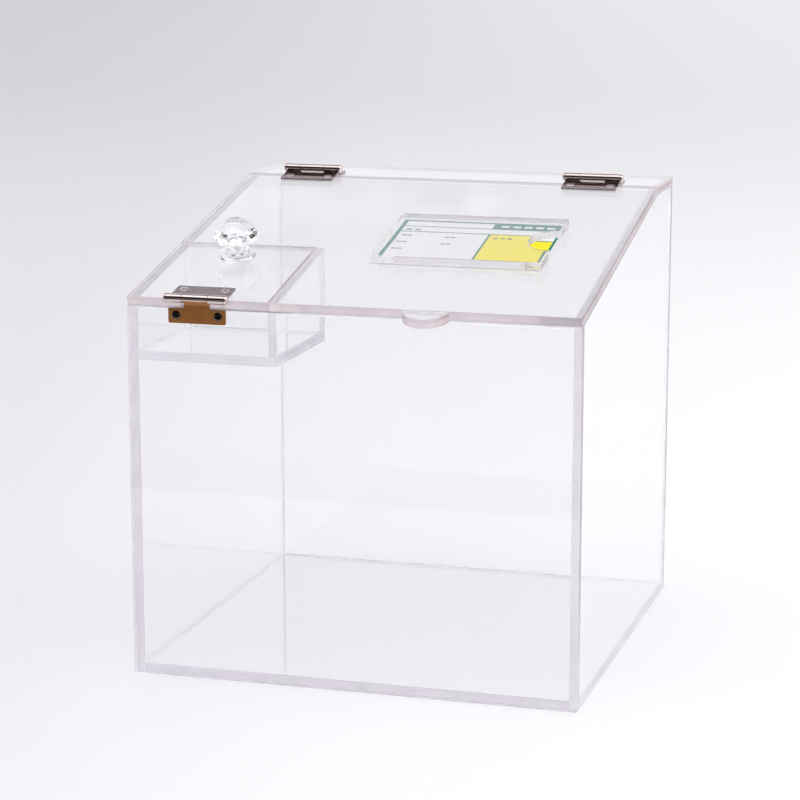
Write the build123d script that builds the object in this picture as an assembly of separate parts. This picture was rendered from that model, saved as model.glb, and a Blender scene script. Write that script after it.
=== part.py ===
from build123d import *
from math import atan2, cos, pi, radians, sin, tan
import os

# A clear acrylic box with a slanted lid on hinges, a small tray with its own lid in the front
# left corner, and a pocket on the lid that holds a label card. Millimetres. X runs to the right,
# Y to the back and Z up. The origin is at the centre of the footprint, on the table.

# Sheets and the outer shape
width = 300.0
depth = 300.0
body_height = 300.0        # walls at the back, under the top sheets
sheet = 6.0                # thickness of every acrylic sheet
front_height = 253.0       # top face of the lid at its front edge
strip_depth = 60.0         # the fixed flat sheet behind the lid
edge_chamfer = 0.35        # polished edges of the sheets
glue_line = 0.1            # cement between two sheets
lid_rest_gap = 0.3         # between a closed lid and the walls under it
lid_seam_gap = 0.6         # between a lid and its neighbours
front_edge_inset = 0.3     # the lids' front edges, behind the front panel's face

# The tray and its lid
tray_width = 101.0         # outer, from the box's left face
tray_depth = 104.0         # outer, from the box's front face
tray_floor_bottom = 211.0
wall_bearing = 1.0         # how much of a tray wall the small lid covers

# The finger tab and the label pocket, placed on the lid: x, and distance up the slope
tab_radius = 15.0
tab_x = 50.5
pocket_width = 116.0
pocket_length = 82.0
pocket_x = 49.0
pocket_front = 75.5
pocket_sheet = 5.0
spacer_thickness = 0.8
spacer_film = 0.05         # between the spacer and the two sheets it holds apart
spacer_left = 3.4
spacer_back = 6.5
spacer_front = 1.4
notch_radius = 18.0
card_width = 110.0
card_length = 73.0
card_thickness = 0.3
card_clearance = 0.5       # round the card, inside the spacer
card_lift = 0.25           # between the card and the lid

# The knob
knob_slope = 80.0          # distance up the slope from the lid's front edge
flange_radius = 12.2
flange_height = 2.2
flange_round = 0.7
knob_sides = 8
# Each ring of the cut knob: radius, height and whether it is turned by half a side
knob_rings = [
    (8.8, 1.6, 0.0),
    (8.3, 4.8, 0.5),
    (9.2, 8.0, 0.0),
    (14.0, 10.8, 0.5),
    (15.6, 14.4, 0.0),
    (13.8, 18.8, 0.5),
    (6.6, 24.6, 0.0),
]

# The hinges: all have leaves and knuckles of one width
rear_hinge_x = 103.5       # centre of each rear hinge, from the middle of the box
front_hinge_x = 101.4      # centre of the front hinge, to the left of the middle
leaf_width = 39.0
leaf_thickness = 1.2
leaf_corner = 1.2
barrel_radius = 3.0
bore_radius = 2.0
pin_radius = 1.95
knuckle_gap = 0.4
neck_angle = radians(30)   # where a neck leaves the barrel, below the pin's axis
neck_end = 4.5             # where a neck has come down to the leaf, from the pin's axis
middle_knuckle = 17.2      # width of the middle knuckle
tangent_lift = 3.15        # pin's axis above a face that the barrel nearly touches
rear_pin_back = 4.0        # rear pins, behind the seam
front_pin_lift = 1.6       # front pin, above the plane of the lid
pin_head_gap = 0.25
pin_head_radius = 2.9
pin_head_rim = 0.5
pin_head_length = 2.2

# Each leaf, measured from the pin's axis: its end, its screws, and where it is cut back beside
# the other leaf's knuckles
rear_lid_leaf = {"end": 17.3, "screws": 10.6, "relief": 4.2}
rear_fixed_leaf = {"end": 17.2, "screws": 10.8, "relief": 4.2}
front_lid_leaf = {"end": 22.6, "screws": 17.0, "relief": 4.6}
front_fixed_leaf = {"end": 16.6, "screws": 11.4, "relief": 7.0}

# The screws
screw_spacing = 28.4
screw_head_radius = 2.9
screw_dome = 0.6           # the head's raised face, above its rim
screw_shank_radius = 1.4
screw_length = 6.2         # with its head
screw_point = 1.4
screw_sink = 0.12          # the head's rim, below the leaf's face
screw_head_depth = leaf_thickness - screw_sink
screw_clearance = 0.1
cross_length = 3.7
cross_width = 0.9
cross_depth = 1.3          # from the top of the dome
cross_taper = 12.0
rear_fixed_turns = [20, 65, 78, 34]
rear_lid_turns = [50, 8, 27, 72]
front_fixed_turns = [15, 58]
front_lid_turns = [40, 82]

slope = atan2(body_height + sheet - front_height, depth - strip_depth)
left, right = -width / 2, width / 2
front, back = -depth / 2, depth / 2
seam_y = back - strip_depth
top = body_height + sheet
wall_left = left + sheet
wall_right = right - sheet
wall_front = front + sheet
wall_back = back - sheet
tray_right = left + tray_width
tray_back = front + tray_depth
tray_floor_top = tray_floor_bottom + sheet
lid_side_edge = tray_right - sheet + wall_bearing

# The lid's own frame: x to the right, y up the slope and z out of its top face
lid_frame = Plane(origin=(0, front, front_height), x_dir=(1, 0, 0), z_dir=(0, -sin(slope), cos(slope)))
lid_back_edge = (tray_back - sheet + wall_bearing - front - sheet * sin(slope)) / cos(slope)


def lid_height(y, drop=0.0):
    """Height at y of the plane that lies drop below the lid's top face."""
    return front_height + (y - front) * tan(slope) - drop / cos(slope)


def lid_point(along, lift):
    """(y, z) of a point on the lid, along the slope and lift above its top face."""
    return (
        front + along * cos(slope) - lift * sin(slope),
        front_height + along * sin(slope) + lift * cos(slope),
    )


def wall_top(y):
    """Height at y of the walls under the closed lids."""
    return lid_height(y, sheet + lid_rest_gap)


def prism(points, x_low, x_high):
    """A prism along X, with its outline given as (y, z) points."""
    outline = make_face(Polyline(*points, close=True))
    return extrude(Plane.YZ.offset(x_low) * outline, x_high - x_low)


def block(x_range, y_range, z_range):
    """A box between three pairs of limits."""
    size = [high - low for low, high in (x_range, y_range, z_range)]
    middle = [(high + low) / 2 for low, high in (x_range, y_range, z_range)]
    return Pos(*middle) * Box(*size)


def lid_block(x_range, along_range, lift_range):
    """A box in the lid's own frame."""
    return lid_frame * block(x_range, along_range, lift_range)


def polished(shape):
    """The sheet with its edges broken."""
    return chamfer(shape.edges(), edge_chamfer)


# Walls

def base_panel():
    inner = (wall_left + glue_line, wall_right - glue_line)
    return polished(block(inner, (wall_front + glue_line, wall_back - glue_line), (0, sheet)))


def front_panel():
    outline = [(front, 0), (wall_front, 0), (wall_front, wall_top(wall_front)), (front, wall_top(front))]
    return polished(prism(outline, left, right))


def back_panel():
    return polished(block((left, right), (wall_back, back), (0, body_height - glue_line)))


def side_panel(x_low):
    y_low = wall_front + glue_line
    y_high = wall_back - glue_line
    z_high = body_height - glue_line
    bend = front + (z_high - wall_top(front)) / tan(slope)
    outline = [(y_low, 0), (y_high, 0), (y_high, z_high), (bend, z_high), (y_low, wall_top(y_low))]
    return polished(prism(outline, x_low, x_low + sheet))


def top_rear_panel():
    return polished(block((left, right), (seam_y + lid_seam_gap / 2, back), (body_height, top)))


# The tray

def tray_floor():
    return polished(
        block(
            (wall_left + glue_line, tray_right),
            (wall_front + glue_line, tray_back),
            (tray_floor_bottom, tray_floor_top),
        )
    )


def tray_wall(x_range, y_range):
    z_low = tray_floor_top + glue_line
    y_low, y_high = y_range
    outline = [(y_low, z_low), (y_high, z_low), (y_high, wall_top(y_high)), (y_low, wall_top(y_low))]
    return polished(prism(outline, *x_range))


def tray_side_wall():
    return tray_wall((tray_right - sheet, tray_right), (wall_front + glue_line, tray_back))


def tray_back_wall():
    x_range = (wall_left + glue_line, tray_right - sheet - glue_line)
    return tray_wall(x_range, (tray_back - sheet, tray_back))


# The lids

def main_lid():
    rear = seam_y - lid_seam_gap / 2
    outline = [
        lid_point(front_edge_inset, 0),
        (rear, lid_height(rear)),
        (rear, lid_height(rear, sheet)),
        lid_point(front_edge_inset, -sheet),
    ]
    corner = lid_block(
        (left - sheet, lid_side_edge + lid_seam_gap),
        (-sheet, lid_back_edge + lid_seam_gap),
        (-2 * sheet, sheet),
    )
    return polished(prism(outline, left, right) - corner)


def small_lid():
    return polished(
        lid_block((left, lid_side_edge), (front_edge_inset, lid_back_edge), (-sheet, 0))
    )


def finger_tab():
    join = front_edge_inset - glue_line
    disc = Pos(tab_x, join) * Circle(tab_radius)
    half = disc & Pos(tab_x, join - tab_radius) * Rectangle(2 * tab_radius, 2 * tab_radius)
    return polished(lid_frame * extrude(Pos(0, 0, -sheet) * half, sheet))


# The label pocket

def label_cover():
    low = spacer_thickness + 2 * spacer_film
    x_range = (pocket_x - pocket_width / 2, pocket_x + pocket_width / 2)
    along_range = (pocket_front, pocket_front + pocket_length)
    plate = block(x_range, along_range, (low, low + pocket_sheet))
    notch_middle = pocket_front + pocket_length / 2
    through = Cylinder(notch_radius, 2 * pocket_sheet)
    notch = Pos(x_range[1], notch_middle, low + pocket_sheet / 2) * through
    return polished(lid_frame * (plate - notch))


def label_rails():
    """The three strips that hold the cover off the lid, by name. The right side is open."""
    x_low = pocket_x - pocket_width / 2
    x_high = pocket_x + pocket_width / 2
    along_high = pocket_front + pocket_length
    front_inner = pocket_front + spacer_front
    back_inner = along_high - spacer_back
    side_range = (front_inner + spacer_film, back_inner - spacer_film)
    lift_range = (spacer_film, spacer_film + spacer_thickness)
    return {
        "label_rail_front": lid_block((x_low, x_high), (pocket_front, front_inner), lift_range),
        "label_rail_back": lid_block((x_low, x_high), (back_inner, along_high), lift_range),
        "label_rail_left": lid_block((x_low, x_low + spacer_left), side_range, lift_range),
    }


def label_card():
    x_low = pocket_x - pocket_width / 2 + spacer_left + card_clearance
    along_low = pocket_front + spacer_front + card_clearance
    return lid_block(
        (x_low, x_low + card_width),
        (along_low, along_low + card_length),
        (card_lift, card_lift + card_thickness),
    )


# The knob

def ring_points(radius, height, turn):
    """The corners of one ring of the cut knob."""
    angles = [2 * pi * (side + turn) / knob_sides for side in range(knob_sides)]
    return [(radius * cos(angle), radius * sin(angle), height) for angle in angles]


def facet(*points):
    return Face(Wire.make_polygon(points, close=True))


def facets_between(lower, upper, lower_turn, upper_turn):
    """The triangles that join two rings, one of them turned by half a side."""
    faces = []
    for side in range(knob_sides):
        after = (side + 1) % knob_sides
        if lower_turn > upper_turn:
            faces.append(facet(lower[side], upper[after], upper[side]))
            faces.append(facet(lower[side], lower[after], upper[after]))
        else:
            faces.append(facet(lower[side], lower[after], upper[side]))
            faces.append(facet(lower[after], upper[after], upper[side]))
    return faces


def cut_stem_and_head():
    rings = [ring_points(*ring) for ring in knob_rings]
    faces = [facet(*reversed(rings[0])), facet(*rings[-1])]
    for index in range(len(rings) - 1):
        turns = (knob_rings[index][2], knob_rings[index + 1][2])
        faces += facets_between(rings[index], rings[index + 1], *turns)
    return Solid(Shell(faces))


def knob():
    flange = Pos(0, 0, flange_height / 2) * Cylinder(flange_radius, flange_height)
    flange = fillet(flange.edges().group_by(Axis.Z)[-1], flange_round)
    middle = (left + lid_side_edge) / 2
    return lid_frame * Pos(middle, knob_slope, glue_line) * (flange + cut_stem_and_head())


# The hinges. A leaf's own frame has x along the pin, y away from the pin and z out of the face
# that the leaf lies on, with the pin's axis at y = 0 and z = lift.

def knuckle_spans(middle_only):
    """(low, high) along the pin of the middle knuckle, or of the two outer ones."""
    inner = middle_knuckle / 2
    if middle_only:
        return [(-inner, inner)]
    outer = leaf_width / 2
    return [(-outer, -inner - knuckle_gap), (inner + knuckle_gap, outer)]


def knuckle_outline(lift, reach):
    """The (y, z) outline of a knuckle and the neck that joins it to its leaf."""
    clear = lift - barrel_radius
    if clear < 0:
        joined = [(bore_radius, leaf_thickness), (bore_radius, 0)]
    else:
        joined = [
            (neck_end, leaf_thickness),
            (barrel_radius * cos(neck_angle), lift - barrel_radius * sin(neck_angle)),
            (0, clear),
            (clear, 0),
        ]
    neck = make_face(Polyline(*joined, (reach, 0), (reach, leaf_thickness), close=True))
    ring = Pos(0, lift) * Circle(barrel_radius)
    return ring + neck - Pos(0, lift) * Circle(bore_radius)


def screw_places(leaf):
    """The screws of one leaf, in the leaf's frame, on the face that it lies on."""
    return [Pos(side * screw_spacing / 2, leaf["screws"]) for side in (-1, 1)]


def countersink():
    flare = (screw_head_radius - screw_shank_radius) / screw_head_depth
    upper = screw_head_radius + screw_clearance + flare * screw_sink
    cone = Cone(screw_shank_radius + screw_clearance, upper, leaf_thickness)
    return Pos(0, 0, leaf_thickness / 2) * cone


def hinge_leaf(leaf, lift, middle_only):
    """One leaf with its knuckles, in its own frame."""
    reach = leaf["relief"] + leaf_corner
    plate_length = leaf["end"] - leaf["relief"]
    plan = Pos(0, leaf["relief"] + plate_length / 2) * Rectangle(leaf_width, plate_length)
    plan = fillet(plan.vertices().group_by(Axis.Y)[-1], leaf_corner)
    shape = extrude(plan, leaf_thickness)
    for low, high in knuckle_spans(middle_only):
        outline = Plane.YZ.offset(low) * knuckle_outline(lift, reach)
        shape += extrude(outline, high - low)
    for place in screw_places(leaf):
        shape -= place * countersink()
    return shape


def pin_head():
    """The domed head at the right end of a pin."""
    face_x = leaf_width / 2 + pin_head_gap
    rim_x = face_x + pin_head_rim
    end_x = face_x + pin_head_length
    dome = EllipticalCenterArc((rim_x, 0), end_x - rim_x, pin_head_radius, 0, arc_size=90)
    edges = Polyline((end_x, 0), (face_x, 0), (face_x, pin_head_radius), (rim_x, pin_head_radius))
    return revolve(make_face([dome, *edges.edges()]), Axis.X)


def hinge_pin():
    """The pin, along x and centred, with a domed head at each end."""
    half = leaf_width / 2 + pin_head_gap
    shank = Pos(-half, 0, 0) * (Plane.YZ * Circle(pin_radius))
    head = pin_head()
    return extrude(shank, 2 * half, dir=(1, 0, 0)) + head + mirror(head, Plane.YZ)


def screw(turn):
    """A countersunk screw with a domed, cross-cut head, pointing down, its rim at z = 0."""
    dome = EllipticalCenterArc((0, 0), screw_head_radius, screw_dome, 0, arc_size=90)
    edges = Polyline(
        (0, screw_dome),
        (0, -screw_length),
        (screw_shank_radius, screw_point - screw_length),
        (screw_shank_radius, -screw_head_depth),
        (screw_head_radius, 0),
    )
    body = revolve(Plane.XZ * make_face([dome, *edges.edges()]), Axis.Z)
    cross = Rectangle(cross_length, cross_width) + Rectangle(cross_width, cross_length)
    recess = extrude(cross, -cross_depth, taper=cross_taper)
    return body - Pos(0, 0, screw_dome) * Rot(0, 0, turn) * recess


def leaf_screws(leaf, turns):
    """The two screws of one leaf, in the leaf's frame."""
    rim = Pos(0, 0, leaf_thickness - screw_sink)
    return [place * rim * screw(turn) for place, turn in zip(screw_places(leaf), turns)]


def pilot_holes(leaf):
    """The two blind holes under one leaf, in the leaf's frame."""
    hole_depth = screw_length - screw_head_depth + screw_clearance
    drill = Cylinder(screw_shank_radius + screw_clearance, hole_depth)
    return [place * Pos(0, 0, -hole_depth / 2) * drill for place in screw_places(leaf)]


def leaf_frame(x, face_point, away, out):
    """The frame of a leaf: away is the way it runs from the pin, out the way it faces."""
    return Plane(origin=(x, *face_point), x_dir=Vector(away).cross(Vector(out)), z_dir=out)


up_slope = (0, cos(slope), sin(slope))
down_slope = (0, -cos(slope), -sin(slope))
lid_normal = (0, -sin(slope), cos(slope))

# The rear pins stand tangent_lift above the plane of the lid, and the front pin stands
# tangent_lift in front of the front panel.
rear_pin_y = seam_y + rear_pin_back
rear_pin_z = lid_height(rear_pin_y, -tangent_lift)
rear_fixed_lift = rear_pin_z - top
front_pin_y = front - tangent_lift
front_pin_z = lid_height(front_pin_y, -front_pin_lift)
rear_lid_face = (
    rear_pin_y + tangent_lift * sin(slope),
    rear_pin_z - tangent_lift * cos(slope),
)
front_lid_face = (
    front_pin_y + front_pin_lift * sin(slope),
    front_pin_z - front_pin_lift * cos(slope),
)


def rear_lid_frame(x):
    return leaf_frame(x, rear_lid_face, down_slope, lid_normal)


def rear_fixed_frame(x):
    return leaf_frame(x, (rear_pin_y, top), (0, 1, 0), (0, 0, 1))


def front_lid_frame():
    return leaf_frame(-front_hinge_x, front_lid_face, up_slope, lid_normal)


def front_fixed_frame():
    return leaf_frame(-front_hinge_x, (front, front_pin_z), (0, 0, -1), (0, -1, 0))


def drilled(shape, leaf, frames):
    """The sheet with the blind holes for the screws of a leaf in each of these frames."""
    for frame in frames:
        for hole in pilot_holes(leaf):
            shape -= frame * hole
    return shape


def screws(leaf, frames, turns):
    """The screws of a leaf in each of these frames, as a list of solids."""
    pairs = [turns[2 * index : 2 * index + 2] for index in range(len(frames))]
    return [frame * one for frame, pair in zip(frames, pairs) for one in leaf_screws(leaf, pair)]


def hinge_parts():
    """The leaves and pins, by name."""
    parts = {}
    for side, x in (("left", -rear_hinge_x), ("right", rear_hinge_x)):
        name = f"rear_{side}_hinge"
        parts[f"{name}_lid_leaf"] = rear_lid_frame(x) * hinge_leaf(rear_lid_leaf, tangent_lift, False)
        parts[f"{name}_fixed_leaf"] = rear_fixed_frame(x) * hinge_leaf(
            rear_fixed_leaf, rear_fixed_lift, True
        )
        parts[f"{name}_pin"] = Pos(x, rear_pin_y, rear_pin_z) * hinge_pin()
    parts["front_hinge_lid_leaf"] = front_lid_frame() * hinge_leaf(
        front_lid_leaf, front_pin_lift, False
    )
    parts["front_hinge_fixed_leaf"] = front_fixed_frame() * hinge_leaf(
        front_fixed_leaf, tangent_lift, True
    )
    parts["front_hinge_pin"] = Pos(-front_hinge_x, front_pin_y, front_pin_z) * hinge_pin()
    return parts


def build():
    """Every sub-part, by name."""
    rear_lid_frames = [rear_lid_frame(-rear_hinge_x), rear_lid_frame(rear_hinge_x)]
    rear_fixed_frames = [rear_fixed_frame(-rear_hinge_x), rear_fixed_frame(rear_hinge_x)]
    fixed_screws = screws(rear_fixed_leaf, rear_fixed_frames, rear_fixed_turns)
    fixed_screws += screws(front_fixed_leaf, [front_fixed_frame()], front_fixed_turns)
    return {
        "base_panel": base_panel(),
        "front_panel": drilled(front_panel(), front_fixed_leaf, [front_fixed_frame()]),
        "back_panel": back_panel(),
        "left_side_panel": side_panel(left),
        "right_side_panel": side_panel(wall_right),
        "top_rear_panel": drilled(top_rear_panel(), rear_fixed_leaf, rear_fixed_frames),
        "tray_floor": tray_floor(),
        "tray_side_wall": tray_side_wall(),
        "tray_back_wall": tray_back_wall(),
        "main_lid": drilled(main_lid(), rear_lid_leaf, rear_lid_frames),
        "small_lid": drilled(small_lid(), front_lid_leaf, [front_lid_frame()]),
        "finger_tab": finger_tab(),
        "label_cover": label_cover(),
        "label_card": label_card(),
        "knob": knob(),
        "fixed_leaf_screws": Compound(fixed_screws),
        "main_lid_screws": Compound(screws(rear_lid_leaf, rear_lid_frames, rear_lid_turns)),
        "small_lid_screws": Compound(screws(front_lid_leaf, [front_lid_frame()], front_lid_turns)),
        **label_rails(),
        **hinge_parts(),
    }


os.makedirs("parts", exist_ok=True)
for name, shape in build().items():
    export_step(shape, f"parts/{name}.step")
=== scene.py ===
"""Looks of the acrylic donation box: its materials, the floor, the light and the camera."""

from math import atan2, cos, radians, sin

import bpy
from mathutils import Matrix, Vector


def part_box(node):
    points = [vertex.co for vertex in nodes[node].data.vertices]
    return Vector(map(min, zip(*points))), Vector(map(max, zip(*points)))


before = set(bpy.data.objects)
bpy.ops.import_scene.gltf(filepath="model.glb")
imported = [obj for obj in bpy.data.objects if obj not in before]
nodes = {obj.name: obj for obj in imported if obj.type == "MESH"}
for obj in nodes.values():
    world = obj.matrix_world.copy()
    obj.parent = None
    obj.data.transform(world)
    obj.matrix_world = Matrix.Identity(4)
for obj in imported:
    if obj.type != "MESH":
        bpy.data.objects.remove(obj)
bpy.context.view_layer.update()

# The lid's slope, from the box's front top edge to the seam in front of the rear hinges
lid_rise, lid_run = 0.053, 0.240
slope = atan2(lid_rise, lid_run)
lid_front = Vector((0.0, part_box("front_panel")[0].y, 0.253))
up_slope = Vector((0.0, cos(slope), sin(slope)))
lid_normal = Vector((0.0, -sin(slope), cos(slope)))

acrylic_ior = 1.49
barrel_radius = 0.0030
mm_per_metre = 1000.0


class Graph:
    """A material's or world's node tree, with each node made in one call."""

    def __init__(self, owner):
        owner.use_nodes = True
        self.owner = owner
        self.tree = owner.node_tree
        self.tree.nodes.clear()

    def add(self, kind, inputs=None, **settings):
        node = self.tree.nodes.new("ShaderNode" + kind)
        for name, value in settings.items():
            setattr(node, name, value)
        for key, value in (inputs or {}).items():
            if isinstance(value, bpy.types.NodeSocket):
                self.tree.links.new(value, node.inputs[key])
            else:
                node.inputs[key].default_value = value
        return node

    def math(self, operation, first, second=0.0):
        return self.add("Math", {0: first, 1: second}, operation=operation).outputs[0]

    def dot(self, vector, direction):
        inputs = {0: vector, 1: tuple(direction)}
        return self.add("VectorMath", inputs, operation="DOT_PRODUCT").outputs["Value"]

    def ramp(self, value, start, end, low=0.0, high=1.0):
        """Low below start, high above end, and a smooth rise between them."""
        inputs = {"Value": value, "From Min": start, "From Max": end, "To Min": low, "To Max": high}
        node = self.add("MapRange", inputs, interpolation_type="SMOOTHSTEP")
        return node.outputs["Result"]

    def mix(self, share, first, second):
        """A colour between the first and the second."""
        inputs = {0: share, 6: first, 7: second}
        return self.add("Mix", inputs, data_type="RGBA").outputs[2]

    def noise(self, vector, scale, detail=2.0, roughness=0.5):
        inputs = {"Vector": vector, "Scale": scale, "Detail": detail, "Roughness": roughness}
        return self.add("TexNoise", inputs).outputs["Fac"]

    def stretched(self, vector, scale):
        """The vector, scaled by its own amount along each axis."""
        return self.add("Mapping", {"Vector": vector, "Scale": scale}).outputs[0]

    def bump(self, height, strength, distance):
        inputs = {"Height": height, "Strength": strength, "Distance": distance}
        return self.add("Bump", inputs).outputs[0]

    def mix_shader(self, share, first, second):
        return self.add("MixShader", {0: share, 1: first, 2: second}).outputs[0]


def material(name):
    return Graph(bpy.data.materials.new(name))


def finish_material(graph, surface, volume=None):
    """Joins the shaders to the output, and returns the material."""
    inputs = {"Surface": surface}
    if volume is not None:
        inputs["Volume"] = volume
    graph.add("OutputMaterial", inputs)
    return graph.owner


def give(material_made, *names):
    """Puts a material on CAD nodes."""
    for name in names:
        for slot in nodes[name].material_slots:
            slot.material = material_made


def rgb(red, green, blue):
    return (red, green, blue, 1.0)


# Clear acrylic

streaks_per_metre = 330.0      # across the thickness of a sheet's edge
streak_wander = 1.2            # how far a streak strays, in streaks
front_painted_light_tone = rgb(0.92, 0.89, 0.92)   # painted light: a lighter tone for the edges that face the front, where less light falls
front_painted_light_share = 0.6
front_haze_share = 0.75


def lets_lamps_through(graph, shader, colour):
    """The shader, but light from the lamps and the floor goes straight through."""
    path = graph.add("LightPath").outputs
    soft = graph.math("MAXIMUM", path["Is Shadow Ray"], path["Is Diffuse Ray"])
    open_shader = graph.add("BsdfTransparent", {"Color": colour}).outputs[0]
    return graph.mix_shader(soft, shader, open_shader)


def clear_volume(graph, density):
    """The faint pink grey that a long way through the sheet shows."""
    inputs = {"Color": rgb(0.86, 0.815, 0.855), "Density": density}
    return graph.add("VolumeAbsorption", inputs).outputs[0]


def edge_streaks(graph, where, face_normal):
    """Streaks along a sheet's edges: they change across its thickness and wander a little."""
    depth = graph.math("MULTIPLY", graph.dot(where, face_normal), streaks_per_metre)
    wander = graph.math("MULTIPLY", graph.noise(where, 6.0, 2.0), streak_wander)
    place = graph.add("CombineXYZ", {0: graph.math("ADD", depth, wander)}).outputs[0]
    return graph.noise(place, 1.0, 2.0, 0.6)


def sheet(name, face_normal, haze, light, shade):
    """Polished acrylic sheet: clear faces with faint wipe marks, and streaked, hazier edges."""
    graph = material(name)
    where = graph.add("TexCoord").outputs
    facing = graph.math("ABSOLUTE", graph.dot(where["Normal"], face_normal))
    edge = graph.ramp(facing, 0.8, 0.97, 1.0, 0.0)
    wipe_marks = graph.noise(graph.stretched(where["Object"], (14.0, 9.0, 11.0)), 1.0, 4.0)
    streaks = edge_streaks(graph, where["Object"], face_normal)
    cement = graph.noise(where["Object"], 40.0, 1.0)
    face_roughness = graph.ramp(wipe_marks, 0.5, 0.8, 0.0, 0.03)
    roughness = graph.math(
        "ADD",
        graph.math("MULTIPLY", face_roughness, graph.math("SUBTRACT", 1.0, edge)),
        graph.math("MULTIPLY", graph.ramp(streaks, 0.35, 0.75, 0.0, 0.06), edge),
    )
    glass = graph.add(
        "BsdfPrincipled",
        {
            "Base Color": graph.mix(edge, rgb(0.995, 0.995, 1.0), rgb(0.965, 0.955, 0.965)),
            "Roughness": roughness,
            "IOR": acrylic_ior,
            "Transmission Weight": 1.0,
        },
    )
    tone = graph.mix(graph.ramp(streaks, 0.36, 0.62), light, shade)
    # Painted light: the edges that face the front get a lighter tone and less haze, in place of the
    # light they lack.
    painted_light_frontness = graph.ramp(graph.dot(where["Normal"], (0, -1, 0)), 0.5, 0.9)
    tone = graph.mix(graph.math("MULTIPLY", painted_light_frontness, front_painted_light_share), tone, front_painted_light_tone)
    satin = graph.add(
        "BsdfPrincipled",
        {"Base Color": tone, "Roughness": 0.4, "IOR": acrylic_ior, "Transmission Weight": 0.5},
    )
    cloud = graph.ramp(cement, 0.35, 0.65, 0.9 * haze, 1.1 * haze)
    cloud = graph.math("MULTIPLY", cloud, graph.ramp(painted_light_frontness, 0.0, 1.0, 1.0, front_haze_share))
    surface = graph.mix_shader(
        graph.math("MULTIPLY", edge, cloud), glass.outputs[0], satin.outputs[0]
    )
    surface = lets_lamps_through(graph, surface, rgb(0.97, 0.97, 0.978))
    return finish_material(graph, surface, clear_volume(graph, 4.0))


def cut_acrylic():
    """The knob: crystal clear, with crisp facets and a few fine scratches."""
    graph = material("cut_acrylic")
    where = graph.add("TexCoord").outputs
    scratches = graph.noise(graph.stretched(where["Object"], (900.0, 900.0, 150.0)), 1.0, 2.0)
    glass = graph.add(
        "BsdfPrincipled",
        {
            "Base Color": rgb(0.995, 0.995, 1.0),
            "Roughness": graph.ramp(scratches, 0.65, 0.85, 0.0, 0.03),
            "IOR": acrylic_ior,
            "Transmission Weight": 1.0,
        },
    )
    surface = lets_lamps_through(graph, glass.outputs[0], rgb(0.93, 0.93, 0.95))
    return finish_material(graph, surface, clear_volume(graph, 8.0))


# Metal

bright_nickel = rgb(0.66, 0.57, 0.55)


def plated(name, leaf_painted_tone, tarnished_leaf_painted_tone, pin_node, plate_metallic=1.0, low_plate=False):
    """Nickel with fine brushing along the pin: bright on the barrel, and on the flat leaf a painted
    tone that stands in for what it reflects. With low_plate, the barrel's lower half has the leaf's
    tone too."""
    graph = material(name)
    where = graph.add("TexCoord").outputs["Object"]
    grain = graph.noise(graph.stretched(where, (300.0, 3000.0, 3000.0)), 1.0, 3.0)
    tarnish = graph.noise(where, 160.0, 4.0, 0.6)
    low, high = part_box(pin_node)
    from_pin = graph.add("VectorMath", {0: where, 1: (low + high) / 2}, operation="SUBTRACT")
    beside_pin = graph.stretched(from_pin.outputs[0], (0.0, 1.0, 1.0))
    away = graph.add("VectorMath", {0: beside_pin}, operation="LENGTH").outputs["Value"]
    leaf = graph.ramp(away, barrel_radius + 0.00005, barrel_radius + 0.0004)
    # Painted reflection: the barrel's lower half takes the leaf's tone too.
    if low_plate:
        lift = graph.dot(from_pin.outputs[0], (0, 0, 1))
        leaf = graph.math("MAXIMUM", leaf, graph.ramp(lift, -0.0016, -0.0008, 1.0, 0.0))
    # Painted reflection: the flat leaf gets a tone of its own in place of what it mirrors; tarnish
    # varies it at random.
    mixed_painted_leaf_tone = graph.mix(graph.ramp(tarnish, 0.35, 0.75), leaf_painted_tone, tarnished_leaf_painted_tone)
    metal = graph.add(
        "BsdfPrincipled",
        {
            "Base Color": graph.mix(leaf, bright_nickel, mixed_painted_leaf_tone),
            "Metallic": graph.ramp(leaf, 0.0, 1.0, 1.0, plate_metallic),
            "Roughness": graph.ramp(grain, 0.3, 0.7, 0.05, 0.12),
            "Normal": graph.bump(grain, 0.05, 0.00003),
        },
    )
    return finish_material(graph, metal.outputs[0])


def screw_plate():
    """Bright screw heads with turning marks, and painted shade that makes them dark below the front
    hinge's pin.
    """
    graph = material("screw_nickel")
    where = graph.add("TexCoord").outputs["Object"]
    turning = graph.noise(graph.stretched(where, (2600.0, 2600.0, 2600.0)), 1.0, 2.0)
    height = graph.dot(where, (0, 0, 1))
    # Painted shade: screws lower than the front hinge's pin get a dark tone.
    pin_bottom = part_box("front_hinge_pin")[0].z
    low = graph.ramp(height, pin_bottom - 0.001, pin_bottom, 1.0, 0.0)
    bright = graph.mix(turning, rgb(0.86, 0.84, 0.83), rgb(0.62, 0.58, 0.57))
    metal = graph.add(
        "BsdfPrincipled",
        {
            "Base Color": graph.mix(low, bright, rgb(0.10, 0.085, 0.08)),
            "Metallic": 1.0,
            "Roughness": graph.ramp(turning, 0.3, 0.7, 0.08, 0.2),
            "Normal": graph.bump(turning, 0.06, 0.00003),
        },
    )
    return finish_material(graph, metal.outputs[0])


# The card

card_green = rgb(0.01, 0.21, 0.14)
card_yellow = rgb(1.0, 0.87, 0.0)
card_ink = rgb(0.11, 0.10, 0.17)
card_white = rgb(0.95, 0.95, 0.96)

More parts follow.
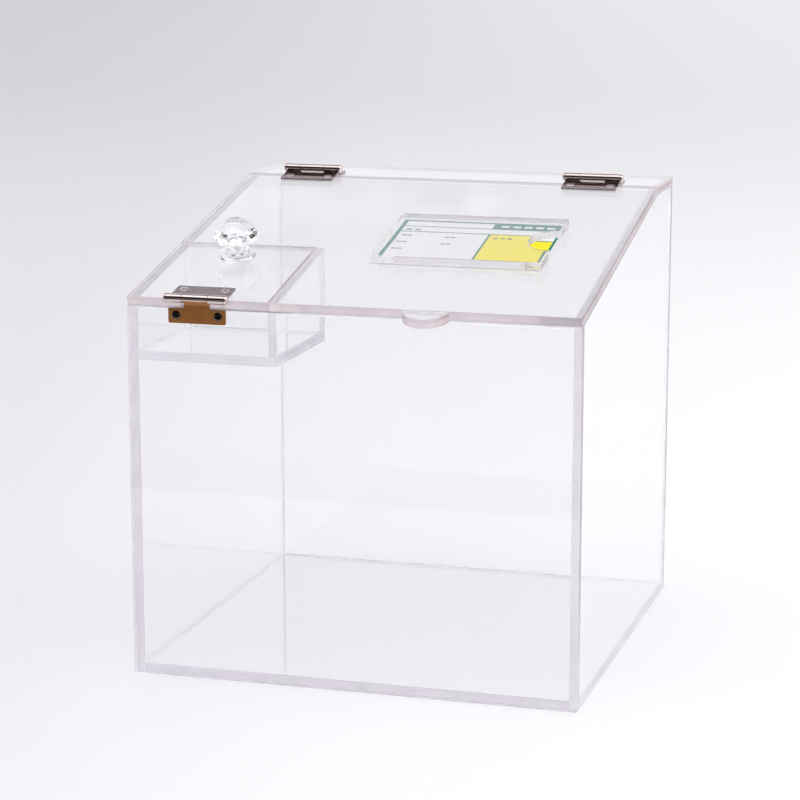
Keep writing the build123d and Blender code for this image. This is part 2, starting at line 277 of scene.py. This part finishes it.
# Printed areas: x from, x to, then up the slope from, to, in millimetres
green_areas = [
    (-4.7, -1.9, 77.9, 149.5),
    (-4.7, 104.5, 147.2, 149.5),
    (58.5, 104.5, 137.2, 148.0),
    (102.5, 104.5, 77.9, 148.0),
    (-4.7, 104.5, 77.0, 79.3),
    (58.8, 60.4, 79.0, 127.6),
    (-1.7, 59.0, 137.2, 138.4),
    (-1.5, 102.5, 127.2, 128.5),
]
yellow_areas = [(60.4, 102.5, 79.3, 127.4)]
ink_bars = [
    (0.5, 4.6, 130.4, 133.0),
    (6.9, 11.0, 130.4, 133.0),
    (0.7, 3.9, 119.5, 121.5),
    (4.6, 7.9, 119.5, 121.5),
    (0.5, 3.7, 107.0, 109.0),
    (4.4, 7.6, 107.0, 109.0),
    (0.4, 3.6, 94.5, 96.5),
    (4.3, 7.5, 94.5, 96.5),
    (31.0, 34.0, 118.0, 120.0),
    (35.0, 38.2, 118.0, 120.0),
    (31.0, 34.0, 105.6, 107.6),
    (35.0, 38.2, 105.6, 107.6),
    (63.5, 66.9, 119.6, 121.8),
    (68.4, 71.8, 119.6, 121.8),
    (73.3, 76.7, 119.6, 121.8),
]
header_bars = [(64.0 + 7.8 * n, 69.6 + 7.8 * n, 141.2, 144.8) for n in range(5)]


def inside(graph, value, low, high):
    """1 where the value lies between low and high."""
    above = graph.math("GREATER_THAN", value, low)
    return graph.math("MULTIPLY", above, graph.math("LESS_THAN", value, high))


def areas_mask(graph, across, along, areas):
    """1 inside any of the printed areas."""
    total = 0.0
    for left, right, low, high in areas:
        one = graph.math(
            "MULTIPLY", inside(graph, across, left, right), inside(graph, along, low, high)
        )
        total = graph.math("MAXIMUM", one, total)
    return total


def printed_card():
    """White card with green rules, a yellow panel and plain bars where words would be."""
    graph = material("printed_card")
    where = graph.add("TexCoord").outputs["Object"]
    across = graph.math("MULTIPLY", graph.dot(where, (1, 0, 0)), mm_per_metre)
    from_front = graph.math("SUBTRACT", graph.dot(where, up_slope), lid_front.dot(up_slope))
    along = graph.math("MULTIPLY", from_front, mm_per_metre)
    fibres = graph.noise(where, 2600.0, 3.0)
    strokes = graph.noise(graph.stretched(where, (1500.0, 900.0, 900.0)), 1.0, 1.0)
    ink = graph.math(
        "MULTIPLY",
        areas_mask(graph, across, along, ink_bars),
        graph.ramp(strokes, 0.38, 0.5, 0.7, 1.0),
    )
    paper = graph.mix(graph.ramp(fibres, 0.3, 0.7, 0.0, 0.25), card_white, rgb(0.80, 0.80, 0.80))
    colour = graph.mix(areas_mask(graph, across, along, yellow_areas), paper, card_yellow)
    colour = graph.mix(areas_mask(graph, across, along, green_areas), colour, card_green)
    header = graph.math(
        "MULTIPLY",
        areas_mask(graph, across, along, header_bars),
        graph.ramp(strokes, 0.38, 0.5, 0.55, 1.0),
    )
    colour = graph.mix(header, colour, card_white)
    colour = graph.mix(ink, colour, card_ink)
    paper_shader = graph.add(
        "BsdfPrincipled",
        {
            "Base Color": colour,
            "Roughness": graph.ramp(fibres, 0.3, 0.7, 0.45, 0.6),
            "Normal": graph.bump(fibres, 0.1, 0.00005),
        },
    )
    return finish_material(graph, paper_shader.outputs[0])


# The floor, the light and the camera

floor_gap = 0.0004             # between the floor and the box's base
view_right = (0.96, 0.28, 0)   # level, from left to right as the camera stands


def floor():
    """A wide pale floor, a hair below the box's base, with painted shade that makes it a little
    darker to its left and far behind.
    """
    bpy.ops.mesh.primitive_plane_add(size=60.0, location=(0.0, 0.0, -floor_gap))
    plane = bpy.context.object
    plane.name = "floor"
    graph = material("pale_floor")
    where = graph.add("TexCoord").outputs["Object"]
    mottle = graph.noise(where, 3.0, 3.0)
    across = graph.dot(where, view_right)
    # Painted shade: darker to the left, where the box's soft shadow would fall, and far behind,
    # where the light falls off.
    painted_shade_near_left = graph.mix(mottle, rgb(0.80, 0.805, 0.83), rgb(0.82, 0.825, 0.85))
    near_right = graph.mix(mottle, rgb(0.945, 0.95, 0.96), rgb(0.96, 0.965, 0.975))
    near = graph.mix(graph.ramp(across, -0.45, 0.0), painted_shade_near_left, near_right)
    rightness = graph.ramp(across, -1.6, 1.6)
    far = graph.mix(rightness, rgb(0.66, 0.66, 0.71), rgb(0.90, 0.90, 0.93))
    colour = graph.mix(graph.ramp(graph.dot(where, (0, 1, 0)), 0.5, 4.5), near, far)
    shader = graph.add("BsdfPrincipled", {"Base Color": colour, "Roughness": 0.6})
    plane.data.materials.append(finish_material(graph, shader.outputs[0]))


def dark_card():
    """A dark card on the floor in front, which only mirror-like reflections see."""
    bpy.ops.mesh.primitive_plane_add(size=4.0, location=(0.0, -2.62, 0.002))
    card = bpy.context.object
    card.name = "dark_card"
    card.visible_camera = False
    card.visible_diffuse = False
    card.visible_transmission = False
    card.visible_shadow = False
    graph = material("dark_card")
    mottle = graph.noise(graph.add("TexCoord").outputs["Object"], 3.0, 3.0)
    tone = graph.mix(mottle, rgb(0.03, 0.02, 0.02), rgb(0.06, 0.05, 0.05))
    shader = graph.add("BsdfPrincipled", {"Base Color": tone, "Roughness": 0.8})
    card.data.materials.append(finish_material(graph, shader.outputs[0]))


def surroundings():
    """A pale backdrop behind the box, and a darker, warmer room in front of it."""
    world = bpy.data.worlds.new("studio")
    bpy.context.scene.world = world
    graph = Graph(world)
    direction = graph.add("TexCoord").outputs["Generated"]
    height = graph.dot(direction, (0, 0, 1))
    backness = graph.dot(direction, (0, 1, 0))
    sideness = graph.math("ABSOLUTE", graph.dot(direction, (1, 0, 0)))
    # The overhead softbox fills the directions in which all three of these are above 0
    softbox_front = graph.math("ADD", graph.math("MULTIPLY", height, 0.85), backness)
    softbox_back = graph.math("SUBTRACT", graph.math("MULTIPLY", height, 0.18), backness)
    softbox_side = graph.math("SUBTRACT", graph.math("MULTIPLY", height, 1.1), sideness)
    limits = graph.math("MINIMUM", softbox_front, graph.math("MINIMUM", softbox_back, softbox_side))
    ceiling = rgb(0.34, 0.31, 0.33)
    backdrop = graph.mix(graph.ramp(height, 0.45, 0.69), rgb(0.95, 0.95, 0.98), ceiling)
    room = graph.mix(graph.ramp(height, 0.0, 0.2), rgb(0.10, 0.07, 0.06), rgb(0.03, 0.02, 0.02))
    colour = graph.mix(graph.ramp(backness, -0.45, 0.1), room, backdrop)
    colour = graph.mix(graph.ramp(limits, 0.0, 0.08), colour, rgb(1.74, 1.74, 1.76))
    background = graph.add("Background", {"Color": colour, "Strength": 1.0})
    graph.add("OutputWorld", {"Surface": background.outputs[0]})


def place_lamp(name, data, location, target):
    """Makes a lamp at the location, facing the target."""
    lamp = bpy.data.objects.new(name, data)
    lamp.location = location
    lamp.rotation_euler = (Vector(target) - lamp.location).to_track_quat("-Z", "Y").to_euler()
    bpy.context.scene.collection.objects.link(lamp)
    return lamp


def softbox(name, location, size, power, target=(0.0, 0.0, 0.15)):
    """A rectangular lamp."""
    data = bpy.data.lights.new(name, "AREA")
    data.shape = "RECTANGLE"
    data.size, data.size_y = size
    data.energy = power
    return place_lamp(name, data, location, target)


def broad_lamp(name, location, angle, strength):
    """A far, wide and even lamp."""
    data = bpy.data.lights.new(name, "SUN")
    data.angle = angle
    data.energy = strength
    place_lamp(name, data, location, (0.0, 0.0, 0.0))


def camera():
    """Level, in front of the box and to its right, looking a little down."""
    data = bpy.data.cameras.new("camera")
    data.sensor_width = 36.0
    data.lens = 114.0
    made = bpy.data.objects.new("camera", data)
    made.location = (0.4716, -1.6465, 0.5210)
    tilt_down, turn_left = 11.795, 16.314
    made.rotation_euler = (radians(90.0 - tilt_down), 0.0, radians(turn_left))
    bpy.context.scene.collection.objects.link(made)
    bpy.context.scene.camera = made


def render_settings():
    """How light is followed through the clear sheets, and how colour is shown."""
    scene = bpy.context.scene
    scene.view_settings.view_transform = "Standard"
    scene.cycles.max_bounces = 40
    scene.cycles.glossy_bounces = 40
    scene.cycles.transmission_bounces = 40
    scene.cycles.transparent_max_bounces = 48
    scene.cycles.caustics_reflective = False
    scene.cycles.caustics_refractive = False
    scene.cycles.sample_clamp_indirect = 8.0


cool_light = rgb(0.97, 0.97, 0.985)
cool_shade = rgb(0.66, 0.67, 0.77)
warm_light = rgb(0.78, 0.65, 0.67)
warm_shade = rgb(0.46, 0.36, 0.36)
box_haze = 0.52
lid_haze = 0.70
cover_haze = 0.35
across_sheet = sheet("sheet_across", (1, 0, 0), box_haze, cool_light, cool_shade)
upright_sheet = sheet("sheet_upright", (0, 1, 0), box_haze, cool_light, cool_shade)
flat_sheet = sheet("sheet_flat", (0, 0, 1), box_haze, cool_light, cool_shade)
lid_sheet = sheet("sheet_lid", lid_normal, lid_haze, warm_light, warm_shade)
top_sheet = sheet("sheet_top", (0, 0, 1), lid_haze, warm_light, warm_shade)
cover_sheet = sheet(
    "sheet_cover", lid_normal, cover_haze, rgb(0.95, 0.94, 0.95), rgb(0.74, 0.71, 0.73)
)
give(across_sheet, "left_side_panel", "right_side_panel", "tray_side_wall")
give(upright_sheet, "front_panel", "back_panel", "tray_back_wall")
give(flat_sheet, "base_panel", "tray_floor")
give(top_sheet, "top_rear_panel")
give(lid_sheet, "main_lid", "small_lid", "finger_tab")
give(cover_sheet, "label_cover", "label_rail_front", "label_rail_back", "label_rail_left")
give(cut_acrylic(), "knob")
give(printed_card(), "label_card")

# Painted shade: the flat leaves' nickel is darker than the barrel's, standing in for the dark things
# they mirror.
leaf_nickel_painted_shade = rgb(0.31, 0.25, 0.26)
tarnished_nickel_painted_shade = rgb(0.24, 0.19, 0.20)
# Painted reflection: brown tones for the front hinge's fixed leaf, in place of the brown
# surroundings its nickel mirrors.
painted_brown_reflection = rgb(0.34, 0.145, 0.045)
tarnished_painted_brown_reflection = rgb(0.28, 0.115, 0.035)
rear_nickel = plated("rear_nickel", leaf_nickel_painted_shade, tarnished_nickel_painted_shade, "rear_left_hinge_pin")
front_nickel = plated("front_nickel", leaf_nickel_painted_shade, tarnished_nickel_painted_shade, "front_hinge_pin")
front_leaf = plated(
    "front_leaf_painted_brown", painted_brown_reflection, tarnished_painted_brown_reflection, "front_hinge_pin", plate_metallic=0.4, low_plate=True
)
screw_metal = screw_plate()
for hinge in ("rear_left_hinge", "rear_right_hinge"):
    give(rear_nickel, f"{hinge}_lid_leaf", f"{hinge}_fixed_leaf", f"{hinge}_pin")
give(front_nickel, "front_hinge_lid_leaf", "front_hinge_pin")
give(front_leaf, "front_hinge_fixed_leaf")
give(screw_metal, "fixed_leaf_screws", "main_lid_screws", "small_lid_screws")

floor()
dark_card()
surroundings()
broad_lamp("broad", (1.4, -1.0, 1.9), angle=radians(60.0), strength=0.5)
softbox("right_box", (2.0, 0.9, 1.3), size=(1.2, 1.2), power=13.0, target=(0.6, 0.6, 0.0))
front_fill = softbox("front_fill", (0.9, -2.0, 0.25), size=(1.0, 0.4), power=20.0)
front_fill.visible_glossy = False
front_fill.visible_transmission = False
camera()
render_settings()
